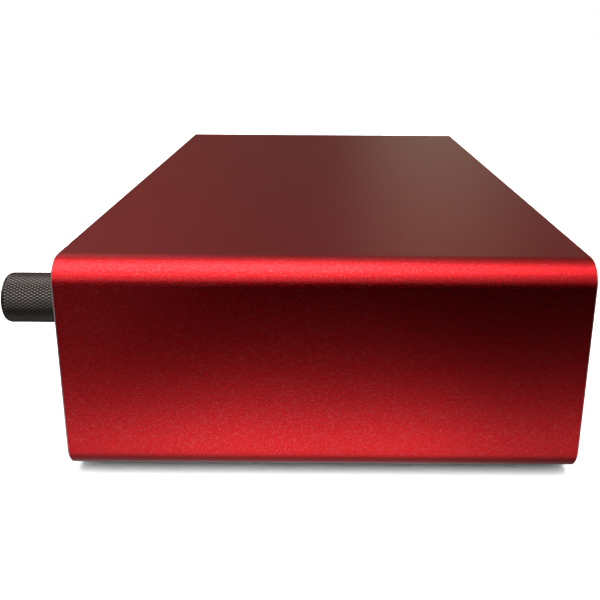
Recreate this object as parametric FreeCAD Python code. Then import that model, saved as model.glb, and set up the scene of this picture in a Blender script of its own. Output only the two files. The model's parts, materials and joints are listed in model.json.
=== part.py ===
"""A desktop two-channel audio interface: a red anodised aluminium sleeve, closed by an inset front
panel with combination inputs, level knobs and buttons, and by a rear panel with outputs.

Units are millimetres. +Z is up and the front panel faces -Y. The origin is at the middle of the
bounding box, on the desk. Depths into the case are measured from the sleeve's front edge, and
heights from the sleeve's underside; along() and above() turn them into the part's own frame.
"""

import FreeCAD
import Part

import math
import os

# ---- driving dimensions ---------------------------------------------------------------------
# Case
CASE_WIDTH = 175.0
CASE_DEPTH = 103.5
CASE_HEIGHT = 45.0
CORNER_R = 5.0
WALL = 2.5
END_CHAMFER = 0.3
PANEL_RECESS = 0.8
PANEL_GAP = 0.25
PANEL_EDGE = 0.3
FASCIA_T = 1.8
SUBPANEL_T = 2.0
REAR_T = 2.0
BOSS_INSET = 5.5
BOSS_R = 3.2
BOSS_HOLE_R = 1.25
RAIL_T = 1.2
RAIL_REACH = 2.0
RAIL_GAP = 0.1
FUSE_LAP = 0.5
TOLERANCE = 1e-4
PARALLEL = 0.99
END_FLAT = 0.05

# Feet
FOOT_STAND = 2.0
FOOT_R = 5.5
FOOT_POCKET = 0.5
FOOT_INSET_X = 18.0
FOOT_INSET_Y = 16.0
FOOT_TAPER = 0.5
FOOT_ROUNDING = 0.5
FOOT_GAP = 0.1

# Screws
SCREW_CORE_R = 1.22
SCREW_LENGTH = 8.0
SCREW_HEAD_R = 2.7
SCREW_HEAD_T = 1.5
SCREW_HEAD_DOME = 0.8
SCREW_HEAD_EDGE = 0.1
SCREW_HOLE_R = 1.35
REAR_SCREW_HOLE_R = 1.6
SINK_R = 2.85
SINK_DEPTH = 1.5
SINK_GAP = 0.05
SOCKET_AF = 2.0
SOCKET_DEPTH = 1.0

# Boards
BOARD_T = 1.6
BOARD_UNDERSIDE = 9.0
CONTROL_SPACE = 8.0
BOARD_SIDE_GAP = 0.3
BOARD_END_GAP = 0.5
PHONES_NOTCH_HALF = 8.5
PHONES_NOTCH_PAST = 4.0
FRONT_BOARD_X = (-76.0, 78.0)
FRONT_BOARD_TOP_GAP = 1.5
HEADER_X = (30.0, 60.0)
HEADER_SIDE = 2.5
PIN_PITCH = 2.54
PIN_HALF = 0.32
PIN_COUNT = 11
PIN_REACH = 6.0
CHIP_BEVEL = 0.2
PROCESSOR = (46, 52, 14, 1.2)
CONVERTER = (10, 62, 9, 1.0)
PREAMP_CHIP = (6, 1.6)
PREAMP_CHIP_BACK = 18
CAPACITOR_R = 4.0
CAPACITOR_H = 11.0
CAPACITOR_PLACES = ((28, 74), (39, 74), (50, 74), (28, 86), (39, 86))
SHIELD_X = (-72.0, -8.0)
SHIELD_DEPTHS = (6.0, 34.0)
SHIELD_H = 7.0
SHIELD_SKIN = 0.3
SHIELD_ROUNDING = 1.0

# How far the longest knob and the rear jacks reach out of the sleeve
PHONES_KNOB_REACH = 14.2
REAR_REACH = 2.8

# Front panel: positions across from the middle, heights above the sleeve's underside
COMBO_X = (-66.0, -14.0)
COMBO_H = 22.5
GAIN_X = (-41.0, 11.0)
GAIN_H = 29.0
INST_H = 14.0
OPTION_X = 25.5
PHANTOM_H = 28.0
DIRECT_H = 14.0
MONITOR_X = 47.0
MONITOR_H = 23.0
PHONES_X = 73.5
PHONES_KNOB_H = 32.5
PHONES_JACK_H = 13.5
HOLE_GAP = 0.15
RING_GAP = 0.1
LIGHT_GAP = 0.05
SHAFT_HOLE_GAP = 0.6
MONITOR_HOLE_GAP = 1.0
BUTTON_HOLE_CORNER = 1.2
LIGHT_BESIDE = 7.0
LIGHT_OVER = 6.5

# Rear panel
LINE_OUT_X = (-42.0, -65.0)
LINE_OUT_H = 19.0
USB_X = 44.0
LOCK_X = 68.0
LOCK_H = 21.0

# Jacks
JACK_BORE_R = 3.25
BUSHING_R = 4.75
BUSHING_PROUD = 3.0
NUT_AF = 12.0
NUT_T = 2.2
PHONES_HOUSING_R = 6.6
PHONES_HOUSING_LENGTH = 26.0
LINE_HALF = 8.0
LINE_HOUSING_LENGTH = 24.0
JACK_END_WALL = 1.5
JACK_BEVEL = 0.4
THREAD_GAP = 0.02
NUT_BEVEL_R = 6.2
NUT_BEVEL = 0.6
SPRING_SLOT_HALF = 1.4
SPRING_HALF = 1.2
SPRING_T = 0.45
SPRING_OUT = 4.45
SPRING_START = 3.0
SPRING_END = 2.0
SPRING_PLAY = 0.2
LINE_TOP = 9.0
LINE_ROUNDING = 1.5

# Combination inputs
COMBO_RING_R = 12.2
COMBO_HALF = 13.0
COMBO_LENGTH = 28.0
COMBO_PROUD = 0.6
INSERT_R = 7.8
INSERT_GAP = 0.05
INSERT_SUNK = 1.2
SOCKET_CAVITY_R = 9.6
SOCKET_CAVITY_DEPTH = 15.0
SOCKET_HOLE_R = 1.5
SOCKET_CIRCLE_R = 5.45
SOCKET_ANGLES = (25, 155, 270)
SOCKET_DEPTH_IN = 13.0
SOCKET_LINING = 0.25
SOCKET_LINING_SUNK = 1.4
SOCKET_LINING_LENGTH = 10.0
COMBO_BEVEL = 0.6
INSERT_BEVEL = 0.5
KEY_HALF = 1.1
KEY_SUNK = 1.5
KEY_OUT = 8.4

# Knobs and their pots
SHAFT_R = 3.0
SHAFT_FIT = 0.01
SHAFT_RUN = 0.05
SHAFT_BEVEL = 0.4
KNOB_LIFT = 0.5
KNOB_FLOOR = 0.1
POINTER_HALF = 0.4
POINTER_DEPTH = 0.4
POINTER_START = 0.35
POINTER_END = 0.2
PHONES_KNOB_R = 5.25
PHONES_KNOB_ROUNDING = 1.0
PHONES_KNOB_BORE = 10.5
GAIN_KNOB_R = 6.0
GAIN_KNOB_REACH = 8.6
GAIN_KNOB_ROUNDING = 0.8
KNOB_BORE = 7.0
MONITOR_KNOB_R = 13.0
MONITOR_KNOB_REACH = 9.2
CAP_R = 10.6
CAP_T = 0.8
CAP_PROUD = 0.1
CAP_BEVEL = 0.25
DIMPLE = (1.4, 4.2, 0.6)
DIMPLE_DEPTH = 0.3
DIMPLE_OUT = 7.2
MONITOR_ROUNDING = 1.2
MONITOR_SKIRT = 1.8
MONITOR_HUB = 2.2
MONITOR_HOLLOW = 5.5
GRUB_R = 1.3
GRUB_DEPTH = -3.2
GRUB_SUNK = 0.3
GRUB_SLOT_HALF = 0.5
GRUB_SLOT_DEPTH = 0.9
POT_HALF_W = 4.75
POT_HALF_H = 5.5
POT_BEVEL = 0.8
POT_END_WALL = 1.5
SHAFT_END_PLAY = 0.2
POT_BUSHING_R = 3.5
POT_NUT_AF = 10.0
POT_NUT_SUNK = 0.1
NUT_POCKET_R = 6.1
LIGHT_RING_R = 8.5
LIGHT_RING_BORE_R = 6.4
LIGHT_RING_PROUD = 0.2
LIGHT_RING_BEVEL = 0.15
LIGHT_PROUD = 0.1
LIGHT_BACK = 1.0
PEG_ANGLES = (90, 210, 330)
LIGHT_R = 0.9

# Buttons
BUTTON_SIDE = 6.0
BUTTON_PROUD = 1.3
SLIDE_GAP = 0.2
BUTTON_CORNER = 1.0
BUTTON_ROUNDING = 0.3
FLANGE_REACH = 3.9
FLANGE_LOW = 2.4
FLANGE_T = 0.8
FLANGE_GAP = 0.1
PLUNGER_R = 1.5
PLUNGER_REACH = 2.4
SWITCH_HALF = 3.6
SWITCH_SPACE = 3.0
SWITCH_BORE = 4.0

# Rear port and lock
USB_W = 9.0
USB_H = 3.2
USB_LENGTH = 7.6
USB_SKIN = 0.3
USB_HOLE_GAP = 0.25
USB_END_WALL = 0.8
USB_SUNK = 0.2
USB_TONGUE_HALF_W = 3.35
USB_TONGUE_HALF_H = 0.35
USB_TONGUE_SUNK = 1.2
LOCK_SLOT_W = 7.0
LOCK_SLOT_H = 3.2
LOCK_SLOT_CORNER = 0.8
LOCK_POCKET_W = 12.0
LOCK_POCKET_H = 10.0
LOCK_POCKET_DEPTH = 7.0
LOCK_SKIN = 0.8

# ---- worked out -----------------------------------------------------------------------------
SLEEVE_FRONT = (PHONES_KNOB_REACH - CASE_DEPTH - REAR_REACH) / 2
FASCIA_FRONT = PANEL_RECESS
SUBPANEL_FRONT = FASCIA_FRONT + FASCIA_T
SUBPANEL_BACK = SUBPANEL_FRONT + SUBPANEL_T
FRONT_BOARD = SUBPANEL_BACK + CONTROL_SPACE
REAR_OUTER = CASE_DEPTH - PANEL_RECESS
REAR_INNER = REAR_OUTER - REAR_T
BOARD_TOP = BOARD_UNDERSIDE + BOARD_T
KNOB_BACK = FASCIA_FRONT - KNOB_LIFT
INNER_HALF = CASE_WIDTH / 2 - WALL
BOARD_HALF = INNER_HALF - BOARD_SIDE_GAP
BOSS_X = CASE_WIDTH / 2 - BOSS_INSET
BOSS_HEIGHTS = (BOSS_INSET, CASE_HEIGHT - BOSS_INSET)
COMBO_FACE = FASCIA_FRONT - COMBO_PROUD
COMBO_BACK = SUBPANEL_BACK + COMBO_LENGTH
PHONES_HOUSING_BACK = SUBPANEL_BACK + PHONES_HOUSING_LENGTH
SWITCH_FRONT = SUBPANEL_BACK + SWITCH_SPACE
USB_MIDDLE = BOARD_TOP + USB_H / 2
USB_MOUTH = REAR_OUTER - USB_SUNK
LIGHT_RING_MIDDLE_R = (LIGHT_RING_R + LIGHT_RING_BORE_R) / 2

Y_AXIS = FreeCAD.Vector(0, 1, 0)
Z_AXIS = FreeCAD.Vector(0, 0, 1)


# ---- frame and small makers -------------------------------------------------------------------
def along(depth):
    """Y of a depth into the case."""
    return SLEEVE_FRONT + depth


def above(height):
    """Z of a height above the sleeve's underside."""
    return FOOT_STAND + height


def block(x0, x1, d0, d1, h0, h1):
    """A box between two widths, two depths and two heights."""
    corner = FreeCAD.Vector(x0, along(d0), above(h0))
    return Part.makeBox(x1 - x0, d1 - d0, h1 - h0, corner)


def rod(radius, d0, d1, x, h):
    """A cylinder along the depth, centred at a width and a height."""
    return Part.makeCylinder(radius, d1 - d0, FreeCAD.Vector(x, along(d0), above(h)), Y_AXIS)


def cone(r0, r1, d0, d1, x, h):
    """A cone along the depth, from one radius to the other."""
    return Part.makeCone(r0, r1, d1 - d0, FreeCAD.Vector(x, along(d0), above(h)), Y_AXIS)


def post(radius, h0, h1, x, d):
    """An upright cylinder."""
    return Part.makeCylinder(radius, h1 - h0, FreeCAD.Vector(x, along(d), above(h0)), Z_AXIS)


def tube(outer, inner, d0, d1, x, h):
    """A round pipe along the depth."""
    return rod(outer, d0, d1, x, h).cut(rod(inner, d0, d1, x, h))


def runs_back(edge):
    """Whether an edge sets off along the depth."""
    return abs(edge.tangentAt(edge.FirstParameter).y) > PARALLEL


def rounded(width, height, radius, d0, d1, x, h):
    """A bar along the depth whose section is a rectangle with rounded corners."""
    bar = block(x - width / 2, x + width / 2, d0, d1, h - height / 2, h + height / 2)
    return bar.makeFillet(radius, [e for e in bar.Edges if runs_back(e)])


def oblong(width, height, d0, d1, x, h):
    """A bar along the depth whose ends are very nearly half round."""
    return rounded(width, height, height / 2 - END_FLAT, d0, d1, x, h)


def hexagon(across_flats, d0, d1, x, h):
    """A hexagonal bar along the depth."""
    reach = across_flats / math.sqrt(3)
    points = []
    for i in range(7):
        turn = math.radians(60 * i)
        corner_x, corner_h = x + reach * math.cos(turn), h + reach * math.sin(turn)
        points.append(FreeCAD.Vector(corner_x, along(d0), above(corner_h)))
    return Part.Face(Part.makePolygon(points)).extrude(FreeCAD.Vector(0, d1 - d0, 0))


def turned(profile, x, h):
    """A solid of revolution about a line along the depth. The profile is (radius, depth) pairs."""
    points = [FreeCAD.Vector(x + r, along(d), above(h)) for r, d in profile]
    face = Part.Face(Part.makePolygon(points + points[:1]))
    return face.revolve(FreeCAD.Vector(x, 0, above(h)), Y_AXIS, 360)


def end_edges(shape, depth, reach=0.0):
    """Edges that lie in the plane at a depth, at least reach from the solid's own middle."""
    middle = shape.BoundBox.Center
    found = []
    for edge in shape.Edges:
        box = edge.BoundBox
        flat = abs(box.YMin - along(depth)) < TOLERANCE and abs(box.YMax - along(depth)) < TOLERANCE
        far = max(abs(box.XMax - middle.x), abs(box.XMin - middle.x)) > reach
        if flat and far:
            found.append(edge)
    return found


def fuse(shapes):
    whole = shapes[0].multiFuse(shapes[1:]) if len(shapes) > 1 else shapes[0]
    return whole.removeSplitter()


def cut(shape, tools):
    return shape.cut(fuse(tools) if len(tools) > 1 else tools[0])


def save(name, shape):
    solids = shape.Solids
    whole = solids[0] if len(solids) == 1 else Part.makeCompound(solids)
    if not all(s.isValid() and s.Volume > 0 for s in solids) or not solids:
        raise ValueError(name + " is not a set of valid solids")
    whole.exportStep("parts/" + name + ".step")
    print(name, len(solids), round(sum(s.Volume for s in solids), 1))


def corners(shape_at):
    """One shape at each of the four screw bosses."""
    return [shape_at(side * BOSS_X, h) for side in (-1, 1) for h in BOSS_HEIGHTS]


# ---- casing -----------------------------------------------------------------------------------
def outer_sleeve():
    """One extrusion with rounded corners, board rails and a screw boss in each corner."""
    mid = CASE_HEIGHT / 2
    outer = rounded(CASE_WIDTH, CASE_HEIGHT, CORNER_R, 0, CASE_DEPTH, 0, mid)
    outer = outer.makeChamfer(END_CHAMFER, end_edges(outer, 0) + end_edges(outer, CASE_DEPTH))
    hollow = rounded(2 * INNER_HALF, CASE_HEIGHT - 2 * WALL, CORNER_R - WALL, 0, CASE_DEPTH, 0, mid)
    shell = outer.cut(hollow)
    inside = []
    for side in (-1, 1):
        x0, x1 = sorted((side * (INNER_HALF - RAIL_REACH), side * (INNER_HALF + FUSE_LAP)))
        for h in (BOARD_UNDERSIDE - RAIL_GAP - RAIL_T, BOARD_TOP + RAIL_GAP):
            inside.append(block(x0, x1, SUBPANEL_BACK, REAR_INNER, h, h + RAIL_T))
    for side in (-1, 1):
        for h, wall_h in zip(BOSS_HEIGHTS, (WALL - FUSE_LAP, CASE_HEIGHT - WALL + FUSE_LAP)):
            x = side * BOSS_X
            x0, x1 = sorted((x, side * (INNER_HALF + FUSE_LAP)))
            h0, h1 = sorted((h, wall_h))
            inside.append(rod(BOSS_R, SUBPANEL_BACK, REAR_INNER, x, h))
            inside.append(block(x0, x1, SUBPANEL_BACK, REAR_INNER, h0, h1))
    holes = corners(lambda x, h: rod(BOSS_HOLE_R, SUBPANEL_BACK, REAR_INNER, x, h))
    pockets = [post(FOOT_R + FOOT_GAP, -FOOT_GAP, FOOT_POCKET, x, d) for x, d in foot_places().values()]
    return cut(fuse([shell] + inside), holes + pockets)


def foot_places():
    """Width and depth of each rubber foot."""
    x = CASE_WIDTH / 2 - FOOT_INSET_X
    ends = {"front": FOOT_INSET_Y, "rear": CASE_DEPTH - FOOT_INSET_Y}
    sides = {"left": -x, "right": x}
    return {end + "_" + side: (sides[side], ends[end]) for end in ends for side in sides}


def foot(x, d):
    """A rubber foot, stuck in a shallow pocket and tapering to its rounded tread."""
    base = FreeCAD.Vector(x, along(d), 0)
    pad = Part.makeCone(FOOT_R - FOOT_TAPER, FOOT_R, FOOT_STAND, base, Z_AXIS)
    pad = pad.makeFillet(FOOT_ROUNDING, [e for e in pad.Edges if e.BoundBox.ZMax < TOLERANCE])
    return fuse([pad, post(FOOT_R, 0, FOOT_POCKET, x, d)])


def panel_plate(d0, d1):
    """A plate that fills the sleeve's opening, with a small gap all round."""
    width = 2 * (INNER_HALF - PANEL_GAP)
    height = CASE_HEIGHT - 2 * (WALL + PANEL_GAP)
    return rounded(width, height, CORNER_R - WALL - PANEL_GAP, d0, d1, 0, CASE_HEIGHT / 2)


def button_places():
    places = {"inst_button_1": (GAIN_X[0], INST_H), "inst_button_2": (GAIN_X[1], INST_H)}
    places["phantom_button"] = (OPTION_X, PHANTOM_H)
    places["direct_button"] = (OPTION_X, DIRECT_H)
    return places


def light_places():
    """One status light beside each button."""
    buttons = list(button_places().values())
    return [(x + LIGHT_BESIDE, h) for x, h in buttons[:2]] + [(x, h + LIGHT_OVER) for x, h in buttons[2:]]


def square_holes(side, d0, d1):
    return [rounded(side, side, BUTTON_HOLE_CORNER, d0, d1, x, h) for x, h in button_places().values()]


def front_fascia():
    """The visible front skin, with openings for the controls."""
    d0, d1 = FASCIA_FRONT, SUBPANEL_FRONT
    tools = [rod(COMBO_RING_R + HOLE_GAP, d0, d1, x, COMBO_H) for x in COMBO_X]
    tools += [rod(LIGHT_RING_R + RING_GAP, d0, d1, x, GAIN_H) for x in GAIN_X]
    tools += [rod(SHAFT_R + MONITOR_HOLE_GAP, d0, d1, MONITOR_X, MONITOR_H)]
    tools += [rod(NUT_POCKET_R, d0, d1, PHONES_X, PHONES_KNOB_H)]
    tools += [rod(BUSHING_R + HOLE_GAP, d0, d1, PHONES_X, PHONES_JACK_H)]
    tools += [rod(LIGHT_R + LIGHT_GAP, d0, d1, x, h) for x, h in light_places()]
    tools += square_holes(BUTTON_SIDE + 2 * SLIDE_GAP, d0, d1)
    plate = panel_plate(d0, d1)
    plate = plate.makeChamfer(PANEL_EDGE, end_edges(plate, d0))
    return cut(plate, tools)


def front_subpanel():
    """The metal plate behind the fascia, screwed to the sleeve's bosses."""
    d0, d1 = SUBPANEL_FRONT, SUBPANEL_BACK
    tools = [rod(COMBO_RING_R + HOLE_GAP, d0, d1, x, COMBO_H) for x in COMBO_X]
    tools += [rod(SHAFT_R + SHAFT_HOLE_GAP, d0, d1, x, GAIN_H) for x in GAIN_X]
    tools += [rod(SHAFT_R + SHAFT_HOLE_GAP, d0, d1, MONITOR_X, MONITOR_H)]
    tools += [rod(POT_BUSHING_R + RING_GAP, d0, d1, PHONES_X, PHONES_KNOB_H)]
    tools += [rod(BUSHING_R + HOLE_GAP, d0, d1, PHONES_X, PHONES_JACK_H)]
    tools += [rod(LIGHT_R + LIGHT_GAP, d0, d1, x, h) for x, h in light_places() + ring_pegs()]
    tools += square_holes(BUTTON_SIDE + 2 * SLIDE_GAP, d0, d1)
    tools += corners(lambda x, h: cone(SINK_R, SCREW_HOLE_R, d0, d0 + SINK_DEPTH, x, h))
    tools += corners(lambda x, h: rod(SCREW_HOLE_R, d0, d1, x, h))
    return cut(panel_plate(d0, d1), tools)


def rear_panel():
    d0, d1 = REAR_INNER, REAR_OUTER
    tools = [rod(BUSHING_R + HOLE_GAP, d0, d1, x, LINE_OUT_H) for x in LINE_OUT_X]
    width, height = USB_W + 2 * USB_HOLE_GAP, USB_H + 2 * USB_HOLE_GAP
    tools += [oblong(width, height, d0, d1, USB_X, USB_MIDDLE)]
    tools += [rounded(LOCK_SLOT_W, LOCK_SLOT_H, LOCK_SLOT_CORNER, d0, d1, LOCK_X, LOCK_H)]
    tools += corners(lambda x, h: rod(REAR_SCREW_HOLE_R, d0, d1, x, h))
    plate = panel_plate(d0, d1)
    plate = plate.makeChamfer(PANEL_EDGE, end_edges(plate, d1))
    return cut(plate, tools)


def front_panel_screws():
    """Countersunk screws, hidden behind the fascia."""
    d0 = SUBPANEL_FRONT + THREAD_GAP

    def screw(x, h):
        head = cone(SINK_R - SINK_GAP, SCREW_HOLE_R - SINK_GAP, d0, d0 + SINK_DEPTH, x, h)
        body = fuse([head, rod(SCREW_CORE_R, d0 + SOCKET_DEPTH, d0 + SCREW_LENGTH, x, h)])
        return body.cut(hexagon(SOCKET_AF, d0, d0 + SOCKET_DEPTH, x, h))

    return Part.makeCompound(corners(screw))


def rear_panel_screws():
    """Button-head screws on the rear panel's outer face."""
    d0 = REAR_OUTER

    def screw(x, h):
        r, top = SCREW_HEAD_R, d0 + SCREW_HEAD_T
        rim = (r - SCREW_HEAD_EDGE, top - SCREW_HEAD_DOME)
        crown = (r - SCREW_HEAD_DOME, top - SCREW_HEAD_EDGE)
        head = turned([(0, d0), (r, d0), rim, crown, (0, top)], x, h)
        body = fuse([head, rod(SCREW_CORE_R, d0 - SCREW_LENGTH, top - SOCKET_DEPTH, x, h)])
        return body.cut(hexagon(SOCKET_AF, top - SOCKET_DEPTH, top, x, h))

    return Part.makeCompound(corners(screw))


# ---- inputs -----------------------------------------------------------------------------------
def socket_places(x):
    """Places of the three socket holes: two level ones above and one below."""
    places = []
    for angle in SOCKET_ANGLES:
        turn = math.radians(angle)
        places.append((x + SOCKET_CIRCLE_R * math.cos(turn), COMBO_H + SOCKET_CIRCLE_R * math.sin(turn)))
    return places


def combo_shell(x):
    """Round nose and square housing of a combination input, with its key rib."""
    face = COMBO_FACE
    nose = rod(COMBO_RING_R, face, SUBPANEL_BACK + FUSE_LAP, x, COMBO_H)
    nose = nose.makeChamfer(COMBO_BEVEL, end_edges(nose, face))
    top, low = COMBO_H + COMBO_HALF, BOARD_TOP
    housing = block(x - COMBO_HALF, x + COMBO_HALF, SUBPANEL_BACK, COMBO_BACK, low, top)
    shell = fuse([nose, housing])
    cavity = rod(SOCKET_CAVITY_R, face, face + SOCKET_CAVITY_DEPTH, x, COMBO_H)
    seat = rod(INSERT_R + INSERT_GAP, face, COMBO_BACK, x, COMBO_H)
    mouth = cone(SOCKET_CAVITY_R + COMBO_BEVEL, SOCKET_CAVITY_R, face, face + COMBO_BEVEL, x, COMBO_H)
    shell = cut(shell, [cavity, seat, mouth])
    back, low = face + SOCKET_CAVITY_DEPTH, COMBO_H - SOCKET_CAVITY_R - FUSE_LAP
    rib = block(x - KEY_HALF, x + KEY_HALF, face + KEY_SUNK, back, low, COMBO_H - KEY_OUT)
    return fuse([shell, rib])


def combo_insert(x):
    """The middle of a combination input: a jack bore with three sockets round it."""
    front = COMBO_FACE + INSERT_SUNK
    core = rod(INSERT_R, front, COMBO_BACK, x, COMBO_H)
    core = core.makeChamfer(INSERT_BEVEL, end_edges(core, front))
    tools = [rod(JACK_BORE_R, front, COMBO_BACK - JACK_END_WALL, x, COMBO_H)]
    tools += [rod(SOCKET_HOLE_R, front, front + SOCKET_DEPTH_IN, px, ph) for px, ph in socket_places(x)]
    return cut(core, tools)


def combo_contacts(x):
    """Sockets of a combination input."""
    front = COMBO_FACE + INSERT_SUNK + SOCKET_LINING_SUNK
    back, outer = front + SOCKET_LINING_LENGTH, SOCKET_HOLE_R - THREAD_GAP
    linings = [tube(outer, outer - SOCKET_LINING, front, back, px, ph) for px, ph in socket_places(x)]
    return Part.makeCompound(linings)


# ---- level controls ---------------------------------------------------------------------------
def pot_body(x, h, bushing):
    """A rotary potentiometer between the subpanel and the front board."""
    body = block(x - POT_HALF_W, x + POT_HALF_W, SUBPANEL_BACK, FRONT_BOARD, h - POT_HALF_H, h + POT_HALF_H)
    body = body.makeChamfer(POT_BEVEL, [e for e in body.Edges if runs_back(e)])
    if bushing:
        body = fuse([body, rod(POT_BUSHING_R, FASCIA_FRONT, SUBPANEL_BACK + FUSE_LAP, x, h)])
    return body.cut(rod(SHAFT_R + SHAFT_RUN, FASCIA_FRONT, FRONT_BOARD - POT_END_WALL, x, h))


def shaft(x, h, bore_depth):
    """A pot's shaft, from just short of the end of the knob's bore to the wiper end in the pot."""
    end = KNOB_BACK - bore_depth + KNOB_FLOOR
    bar = rod(SHAFT_R, end, FRONT_BOARD - POT_END_WALL - SHAFT_END_PLAY, x, h)
    return bar.makeChamfer(SHAFT_BEVEL, end_edges(bar, end))


def ring_pegs():
    """Places of the light guide pegs that carry light forward from the board."""
    r = LIGHT_RING_MIDDLE_R
    angles = [math.radians(a) for a in PEG_ANGLES]
    return [(x + r * math.cos(a), GAIN_H + r * math.sin(a)) for x in GAIN_X for a in angles]


def light_ring(x):
    """A translucent ring in the fascia, with three pegs back to the board."""
    face = FASCIA_FRONT - LIGHT_RING_PROUD
    ring = tube(LIGHT_RING_R, LIGHT_RING_BORE_R, face, SUBPANEL_FRONT, x, GAIN_H)
    ring = ring.makeChamfer(LIGHT_RING_BEVEL, end_edges(ring, face, LIGHT_RING_MIDDLE_R))
    near = [(px, ph) for px, ph in ring_pegs() if abs(px - x) < LIGHT_RING_R]
    pegs = [rod(LIGHT_R, SUBPANEL_FRONT - LIGHT_PROUD, FRONT_BOARD - LIGHT_BACK, px, ph) for px, ph in near]
    return fuse([ring] + pegs)


def knob(x, h, radius, reach, bore_depth, rounding):
    """A plain round knob with its shaft bore. Its pointer is a groove across the end face."""
    body = rod(radius, -reach, KNOB_BACK, x, h)
    body = body.makeFillet(rounding, end_edges(body, -reach))
    bore = rod(SHAFT_R + SHAFT_FIT, KNOB_BACK - bore_depth, KNOB_BACK, x, h)
    low, high = h + POINTER_START * radius, h + radius - POINTER_END
    groove = block(x - POINTER_HALF, x + POINTER_HALF, -reach, -reach + POINTER_DEPTH, low, high)
    return cut(body, [bore, groove])


def monitor_knob():
    """The large knob, hollow behind and with a shallow recess for its cap."""
    x, h, r = MONITOR_X, MONITOR_H, MONITOR_KNOB_R
    face = -MONITOR_KNOB_REACH
    body = rod(r, face, KNOB_BACK, x, h)
    body = body.makeFillet(MONITOR_ROUNDING, end_edges(body, face))
    tools = [rod(CAP_R + INSERT_GAP, face, face + CAP_T, x, h)]
    tools += [tube(r - MONITOR_SKIRT, SHAFT_R + MONITOR_HUB, KNOB_BACK - MONITOR_HOLLOW, KNOB_BACK, x, h)]
    tools += [rod(SHAFT_R + SHAFT_FIT, KNOB_BACK - KNOB_BORE, KNOB_BACK, x, h)]
    return cut(body, tools)


def monitor_cap():
    """A thin spun disc let into the large knob's face, with its pointer dimple."""
    x, h, face = MONITOR_X, MONITOR_H, -MONITOR_KNOB_REACH
    front = face - CAP_PROUD
    disc = rod(CAP_R, front, face + CAP_T, x, h)
    disc = disc.makeChamfer(CAP_BEVEL, end_edges(disc, front))
    return disc.cut(rounded(*DIMPLE, front, face + DIMPLE_DEPTH, x, h + DIMPLE_OUT))


def phones_knob():
    h, rounding = PHONES_KNOB_H, PHONES_KNOB_ROUNDING
    body = knob(PHONES_X, h, PHONES_KNOB_R, PHONES_KNOB_REACH, PHONES_KNOB_BORE, rounding)
    return body.cut(post(GRUB_R, h - PHONES_KNOB_R - FUSE_LAP, h - SHAFT_R / 2, PHONES_X, GRUB_DEPTH))


def grub_screw():
    """The set screw that clamps the phones knob to its shaft, from below."""
    low, high = PHONES_KNOB_H - PHONES_KNOB_R + GRUB_SUNK, PHONES_KNOB_H - SHAFT_R - THREAD_GAP
    screw = post(GRUB_R - THREAD_GAP, low, high, PHONES_X, GRUB_DEPTH)
    x0, x1 = PHONES_X - GRUB_SLOT_HALF, PHONES_X + GRUB_SLOT_HALF
    d0, d1 = GRUB_DEPTH - GRUB_SLOT_HALF, GRUB_DEPTH + GRUB_SLOT_HALF
    return screw.cut(block(x0, x1, d0, d1, low, low + GRUB_SLOT_DEPTH))


def pot_nut():
    """Hexagonal nut on the phones pot's bushing, sunk in the fascia."""
    nut = hexagon(POT_NUT_AF, FASCIA_FRONT + POT_NUT_SUNK, SUBPANEL_FRONT, PHONES_X, PHONES_KNOB_H)
    return nut.cut(rod(POT_BUSHING_R + THREAD_GAP, FASCIA_FRONT, SUBPANEL_FRONT, PHONES_X, PHONES_KNOB_H))


# ---- jacks ------------------------------------------------------------------------------------
def phones_jack_body():
    """Barrel jack: a threaded bushing through the front and a round housing behind it."""
    x, h = PHONES_X, PHONES_JACK_H
    face = FASCIA_FRONT - BUSHING_PROUD
    bushing = rod(BUSHING_R, face, SUBPANEL_BACK + FUSE_LAP, x, h)
    bushing = bushing.makeChamfer(JACK_BEVEL, end_edges(bushing, face))
    housing = rod(PHONES_HOUSING_R, SUBPANEL_BACK, PHONES_HOUSING_BACK, x, h)
    body = fuse([bushing, housing])
    bore = rod(JACK_BORE_R, face, PHONES_HOUSING_BACK - JACK_END_WALL, x, h)
    return cut(body, [bore] + spring_blocks(SPRING_SLOT_HALF, SPRING_OUT - INSERT_GAP, PHONES_HOUSING_R, 0))


def phones_jack_springs():
    """Contact leaves in the barrel's slots."""
    return Part.makeCompound(spring_blocks(SPRING_HALF, SPRING_OUT, SPRING_OUT + SPRING_T, SPRING_PLAY))


def spring_blocks(half, near, far, play):
    """Three blocks round the headphone jack, above it and on both sides, from near to far of its line."""
    x, h = PHONES_X, PHONES_JACK_H
    d0, d1 = SUBPANEL_BACK + SPRING_START + play, PHONES_HOUSING_BACK - SPRING_END - play
    made = [block(x - half, x + half, d0, d1, h + near, h + far)]
    made += [block(x - far, x - near, d0, d1, h - half, h + half)]
    made += [block(x + near, x + far, d0, d1, h - half, h + half)]
    return made


def jack_nut(x, h, d0, d1):
    """Hexagonal nut with bevelled corners."""
    nut = hexagon(NUT_AF, d0, d1, x, h)
    near, far = NUT_BEVEL_R, NUT_AF / math.sqrt(3) + THREAD_GAP
    e0, e1 = d0 + NUT_BEVEL, d1 - NUT_BEVEL
    bevel = turned([(0, d0), (near, d0), (far, e0), (far, e1), (near, d1), (0, d1)], x, h)
    return nut.common(bevel).cut(rod(BUSHING_R + THREAD_GAP, d0, d1, x, h))


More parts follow.
